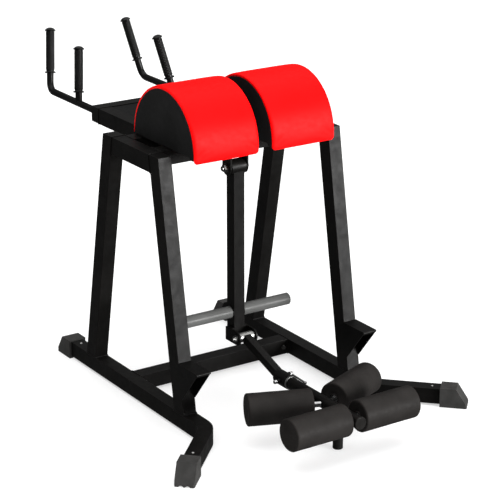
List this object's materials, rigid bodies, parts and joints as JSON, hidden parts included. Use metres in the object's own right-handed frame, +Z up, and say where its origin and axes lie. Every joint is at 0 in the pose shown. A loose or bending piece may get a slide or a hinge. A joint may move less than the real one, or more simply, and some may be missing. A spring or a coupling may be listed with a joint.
{
  "type": "reverse hyperextension machine",
  "caption": "Floor-standing leg-lift machine with half-round hip pads on a raised deck, handles, and a swinging weight pendulum that carries ankle rollers.",
  "frame": {"origin": "on the floor, at the centre of the footprint's bounding box", "axes": "+X to the user's right, across the machine's mirror plane; +Y towards the handles; +Z up"},
  "size_m": [1.1774, 1.7567, 1.1154],
  "materials": {
    "frame_black": "satin",
    "handle_black": "satin",
    "step_black": "satin",
    "deck_sheet": "satin",
    "weight_grey": "satin",
    "zinc": "satin",
    "bright_steel": "polished",
    "nylon": "matte",
    "feet_rubber": "matte",
    "bumper_rubber": "matte",
    "cap_plastic": "matte",
    "pin_grey": "satin",
    "grip_rubber": "matte",
    "foam": "matte",
    "pad_red": "satin",
    "board_black": "matte",
    "plywood": "matte"
  },
  "bodies": {
    "frame": {"rail_left": "frame_black", "rail_right": "frame_black", "front_upright_left": "frame_black", "front_upright_right": "frame_black", "rear_upright_left": "frame_black", "rear_upright_right": "frame_black", "top_beam_left": "frame_black", "top_beam_right": "frame_black", "base_cross_beam": "frame_black", "front_cross_beam": "frame_black", "rear_cross_beam": "frame_black", "deck_head_tube": "frame_black", "deck_rail_left": "frame_black", "deck_rail_right": "frame_black", "deck_links": "frame_black", "pivot_ears": "frame_black", "handle_left": "handle_black", "handle_right": "handle_black", "step_left": "step_black", "step_right": "step_black", "deck_plate": "deck_sheet", "base_bolts": "zinc", "pivot_bolt": "zinc", "foot_screws": "zinc", "foot_cap_head_left": "feet_rubber", "foot_cap_head_right": "feet_rubber", "foot_cap_leg_left": "feet_rubber", "foot_cap_leg_right": "feet_rubber", "grip_outer_left": "grip_rubber", "grip_outer_right": "grip_rubber", "grip_inner_left": "grip_rubber", "grip_inner_right": "grip_rubber", "pad_left": "pad_red", "pad_right": "pad_red", "pad_end_boards": "board_black", "pad_base_boards": "plywood"},
    "pendulum": {"pendulum_post": "frame_black", "pivot_sleeve": "frame_black", "pivot_bushes": "nylon", "weight_bar": "weight_grey", "clevis_plates": "frame_black", "clevis_bolt": "zinc"},
    "arm": {"arm_tube": "frame_black", "arm_hub": "zinc", "hub_bushes": "nylon", "inner_tube": "bright_steel"},
    "carriage": {"carriage_tube": "frame_black", "slide_collar": "frame_black", "collar_bush": "nylon", "collar_ring": "zinc", "carriage_cap": "cap_plastic", "front_axle": "bright_steel", "rear_axles": "bright_steel", "bumper_foot": "bumper_rubber"},
    "roller_front_left": {"roller_front_left": "foam"},
    "roller_front_right": {"roller_front_right": "foam"},
    "roller_rear_left": {"roller_rear_left": "foam"},
    "roller_rear_right": {"roller_rear_right": "foam"},
    "pull_pin": {"pull_pin": "pin_grey"},
    "clamp_lever": {"clamp_lever": "bright_steel"}
  },
  "joints": [
    {"name": "pendulum_swing", "type": "hinge", "parent": "frame", "child": "pendulum", "pos_m": [0, -0.146, 0.802], "axis": [-1, 0, 0], "range_deg": [0, 90]},
    {"name": "arm_hinge", "type": "hinge", "parent": "pendulum", "child": "arm", "pos_m": [0, -0.205, 0.205], "axis": [-1, 0, 0], "range_deg": [0, 45]},
    {"name": "carriage_slide", "type": "slide", "parent": "arm", "child": "carriage", "axis": [0, -1, 0], "range_m": [0, 0.15]},
    {"name": "pull_pin_slide", "type": "slide", "parent": "carriage", "child": "pull_pin", "axis": [-1, 0, 0], "range_m": [0, 0.01], "stiffness_N_per_m": 600, "springref_m": -0.01},
    {"name": "clamp_lever_turn", "type": "hinge", "parent": "carriage", "child": "clamp_lever", "pos_m": [0.0364, -0.43, 0.138], "axis": [-1, 0, 0], "range_deg": [0, 90]},
    {"name": "roller_front_left_spin", "type": "hinge", "parent": "carriage", "child": "roller_front_left", "pos_m": [-0.134, -0.8224, 0.132], "axis": [-1, 0, 0], "continuous": true},
    {"name": "roller_front_right_spin", "type": "hinge", "parent": "carriage", "child": "roller_front_right", "pos_m": [0.134, -0.8224, 0.132], "axis": [1, 0, 0], "continuous": true},
    {"name": "roller_rear_left_spin", "type": "hinge", "parent": "carriage", "child": "roller_rear_left", "pos_m": [0, -0.6848, 0.132], "axis": [-0.9272, 0.3746, 0], "continuous": true},
    {"name": "roller_rear_right_spin", "type": "hinge", "parent": "carriage", "child": "roller_rear_right", "pos_m": [0, -0.6848, 0.132], "axis": [0.9272, 0.3746, 0], "continuous": true}
  ]
}
